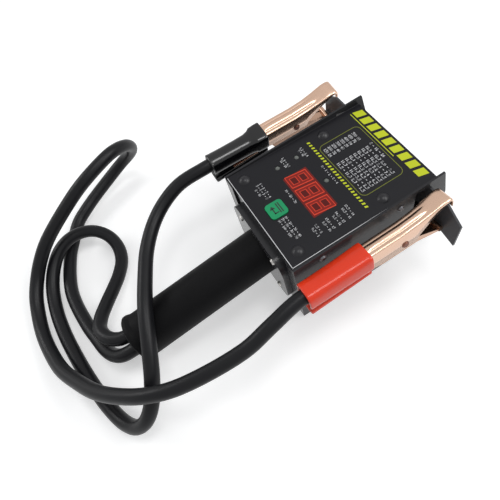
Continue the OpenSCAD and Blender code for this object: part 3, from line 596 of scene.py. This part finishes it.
def leaning_bar(bm, left, top, width, length, lean):
    """A bar from the grid's place (left, top), whose far side leans to the right."""
    x0, y1 = face_xy(left, top)
    x1, y0 = face_xy(left + width, top + length)
    prism(bm, [(x0 - lean, y0), (x1 - lean, y0), (x1 + lean, y1), (x0 + lean, y1)],
          FACE_Z, FACE_Z + INK_T)


# Lime stripes in the title's place, and a lime dashed line lower down, in grid units
STRIPES, STRIPE_PITCH = 9, 99
DASHES, DASH_PITCH = 24, 34.5
bm = bmesh.new()
for i in range(STRIPES):
    leaning_bar(bm, 118 + i * STRIPE_PITCH, 82, 70, 90, 0.9)
stroke(bm, face_xy(115, 194), face_xy(690, 194), 0.55)
for i in range(DASHES):
    leaning_bar(bm, 148 + i * DASH_PITCH, 653, 17, 26, 0.3)
piece("face_lime_print", bm, LIME_INK, "root", smooth=False)

# Rounded frame round the table of numbers
FRAME_R, FRAME_LINE = 4.1, 0.38
bm = bmesh.new()
x0, y0 = face_xy(247, 633)
x1, y1 = face_xy(868, 222)
corners = ((x1 - FRAME_R, y1 - FRAME_R), (x0 + FRAME_R, y1 - FRAME_R),
           (x0 + FRAME_R, y0 + FRAME_R), (x1 - FRAME_R, y0 + FRAME_R))
frame_line = []
for i, (cx, cy) in enumerate(corners):
    frame_line += arc_points(cx, cy, FRAME_R, 90 * i, 90 * i + 90)
band(bm, frame_line, FRAME_LINE)
piece("face_frame_print", bm, OLIVE_INK, "root", smooth=False)

# White figures: a plain table of numbers, and rows of small figures elsewhere
TABLE_HEIGHT, LABEL_HEIGHT = 1.9, 1.45
TABLE_ROWS, TABLE_TOP, TABLE_PITCH = 8, 303, 41.6
TABLE_COLUMNS = (292, 478)
LABELS = (    # place in grid units, and figures
    (425, 712, "0 - 1 - 2 - 3 - 4"),
    (155, 747, "1.2 - 2.4"), (170, 772, "6 - 12"),
    (155, 928, "2.4 - 4.8"), (170, 953, "12 - 24"),
    (447, 1080, "10 - 20 - 30"),
    (840, 785, "13.5 - 14"), (850, 822, "10.5 - 11"),
    (850, 880, "14.8 - 15"), (865, 915, "9.6 - 12"),
    (850, 972, "15.0 - 15"), (865, 1008, "9.0 - 10"),
    (850, 1070, "8.5 - 9"), (865, 1105, "0.5 - 1"),
    (268, 1215, "1 - 2 - 3 - 4"), (268, 1245, "5 - 6 - 7 - 8"), (300, 1275, "9 - 10"),
    (655, 1215, "10 - 20 - 30 - 40"), (655, 1245, "50 - 60 - 70 - 80"),
    (655, 1275, "90 - 100 - 110"))
bm = bmesh.new()
number(bm, "6 - 12 - 24", *face_xy(470, 255), TABLE_HEIGHT)
for row in range(TABLE_ROWS):
    y = TABLE_TOP + row * TABLE_PITCH
    texts = (f"{500 - row * 50} {80 - row * 8}",
             f"{12.9 - row * 0.2:.1f} - {12.7 - row * 0.2:.1f} {9 - row}.{row} - {8 - row}.5")
    for x, text in zip(TABLE_COLUMNS, texts):
        number(bm, text, *face_xy(x, y), TABLE_HEIGHT)
for x, y, text in LABELS:
    number(bm, text, *face_xy(x, y), LABEL_HEIGHT)
piece("face_white_print", bm, WHITE_INK, "root", smooth=False)

# ---------------------------------------------------------------- display digits
DIG_SLANT = 0.13
DIG_W, DIG_H, DIG_T = 10.0, 15.0, 2.1
DIG_PITCH = 12.7
DISPLAY_X, DISPLAY_Y = 1.0, -20.3
OUTER_LINE, HOLE_LINE = 0.85, 0.6
BARS_TOP, COUNTERS_TOP = FACE_Z + 0.02, FACE_Z + 0.03


def digit_box(col, x0, x1, y0, y1):
    """Corners of a slanted box in one digit, measured from the digit's low left corner."""
    left = DISPLAY_X + DIG_PITCH * col - DIG_W / 2
    low = DISPLAY_Y - DIG_H / 2
    return [(left + x + DIG_SLANT * (y - DIG_H / 2), low + y)
            for x, y in ((x0, y0), (x1, y0), (x1, y1), (x0, y1))]


lines, bars, counters = bmesh.new(), bmesh.new(), bmesh.new()
hole_h = (DIG_H - 3 * DIG_T) / 2
for col in (-1, 0, 1):
    outer = digit_box(col, 0, DIG_W, 0, DIG_H)
    prism(bars, outer, FACE_Z, BARS_TOP)
    band(lines, outer, OUTER_LINE, BARS_TOP)
    for low in (DIG_T, DIG_T + hole_h + DIG_T):
        hole = digit_box(col, DIG_T, DIG_W - DIG_T, low, low + hole_h)
        prism(counters, hole, BARS_TOP, COUNTERS_TOP)
        band(lines, hole, HOLE_LINE, COUNTERS_TOP)
piece("display_bars", bars, BAR, "root", smooth=False)
piece("display_counters", counters, SEGMENT, "root", smooth=False)
piece("display_lines", lines, OUTLINE, "root", smooth=False)

# ---------------------------------------------------------------- key legend
# Two bars, and below them an arrow with a turned tail
KEY_TOP = 77.6
KEY_LINE = 0.8
bm = bmesh.new()
for a, b in (((-3.9, -42.0), (3.6, -42.0)), ((-3.9, -43.5), (3.6, -43.5)),
             ((2.6, -44.8), (2.6, -47.2)), ((2.6, -47.2), (-1.2, -47.2))):
    stroke(bm, a, b, KEY_LINE, KEY_TOP)
prism(bm, [(-1.0, -45.3), (-3.6, -47.2), (-1.0, -49.1)], KEY_TOP, KEY_TOP + INK_T)
piece("key_legend_print", bm, LEGEND, "key", smooth=False)

# ---------------------------------------------------------------- painted highlight on the film's edge
# Painted highlight: a thin pale line along the film's near and right sides, for the bright
# reflection along that edge
EDGE_LINE, EDGE_T = 0.42, 0.06
bm = bmesh.new()
for a, b in (((-41, -58.9), (41, -58.9)), ((40.75, -58.9), (40.75, 50.9))):
    stroke(bm, a, b, EDGE_LINE, FACE_Z - 0.02, EDGE_T)
piece("film_edge_highlight_strip", bm, FILM_EDGE_HIGHLIGHT, "root", smooth=False)

# ---------------------------------------------------------------- stage and light
def seen_directly(nt):
    """1 for camera, glossy and transmission rays, and 0 for the light that falls on things."""
    path = nt.nodes.new("ShaderNodeLightPath")
    last = path.outputs["Is Camera Ray"]
    for ray in ("Is Glossy Ray", "Is Transmission Ray"):
        either = nt.nodes.new("ShaderNodeMath")
        either.operation = "MAXIMUM"
        nt.links.new(last, either.inputs[0])
        nt.links.new(path.outputs[ray], either.inputs[1])
        last = either.outputs[0]
    return last


FLOOR_HALF, FLOOR_Z = 4, -0.0004
FLOOR_GREY, FLOOR_GLOW = 0.80, 0.40
floor_mesh = bpy.data.meshes.new("floor")
floor_mesh.from_pydata([(x * FLOOR_HALF, y * FLOOR_HALF, FLOOR_Z)
                        for x, y in ((-1, -1), (1, -1), (1, 1), (-1, 1))], [], [(0, 1, 2, 3)])
floor = bpy.data.objects.new("floor", floor_mesh)
bpy.context.scene.collection.objects.link(floor)
fm = bpy.data.materials.new("floor_white")
fm.use_nodes = True
nt = fm.node_tree
nt.nodes.clear()
out = nt.nodes.new("ShaderNodeOutputMaterial")
diffuse = nt.nodes.new("ShaderNodeBsdfDiffuse")
diffuse.inputs["Color"].default_value = (FLOOR_GREY, FLOOR_GREY, FLOOR_GREY, 1)
glow = nt.nodes.new("ShaderNodeEmission")
glow.inputs["Color"].default_value = (1, 1, 1, 1)
gain = nt.nodes.new("ShaderNodeMath")
gain.operation = "MULTIPLY"
gain.inputs[1].default_value = FLOOR_GLOW
nt.links.new(seen_directly(nt), gain.inputs[0])
nt.links.new(gain.outputs[0], glow.inputs["Strength"])
add = nt.nodes.new("ShaderNodeAddShader")
nt.links.new(diffuse.outputs[0], add.inputs[0])
nt.links.new(glow.outputs[0], add.inputs[1])
nt.links.new(add.outputs[0], out.inputs["Surface"])
floor_mesh.materials.append(fm)

AMBIENT, AMBIENT_STRENGTH = (0.96, 0.98, 1.0), 0.42
world = bpy.data.worlds.new("world")
bpy.context.scene.world = world
world.use_nodes = True
nt = world.node_tree
nt.nodes.clear()
out = nt.nodes.new("ShaderNodeOutputWorld")
ambient = nt.nodes.new("ShaderNodeBackground")
ambient.inputs["Color"].default_value = (*AMBIENT, 1)
ambient.inputs["Strength"].default_value = AMBIENT_STRENGTH
white = nt.nodes.new("ShaderNodeBackground")
white.inputs["Strength"].default_value = 1.0
mix = nt.nodes.new("ShaderNodeMixShader")
nt.links.new(seen_directly(nt), mix.inputs["Fac"])
nt.links.new(ambient.outputs[0], mix.inputs[1])
nt.links.new(white.outputs[0], mix.inputs[2])
nt.links.new(mix.outputs[0], out.inputs["Surface"])


def area(name, place, target, size, power):
    """A rectangular lamp at a place, turned to its target."""
    data = bpy.data.lights.new(name, "AREA")
    data.shape = "RECTANGLE"
    data.size, data.size_y = size
    data.energy = power
    o = bpy.data.objects.new(name, data)
    bpy.context.scene.collection.objects.link(o)
    o.location = place
    o.rotation_euler = (Vector(target) - Vector(place)).to_track_quat("-Z", "Y").to_euler()


# No lamp stands where the flat face would mirror it into the camera
area("key_light", (0.42, 0.75, 0.95), (0, -0.05, 0.04), (0.80, 0.45), 6.0)
area("top_light", (0.06, 0.12, 1.10), (0.0, -0.03, 0.06), (0.30, 0.34), 2.2)
area("soft_box", (0.06, 0.50, 1.00), (0.06, 0.02, 0.06), (0.8, 0.8), 1.0)
area("fill_light", (-0.75, -0.75, 0.65), (0, -0.05, 0.04), (0.5, 0.25), 2.5)
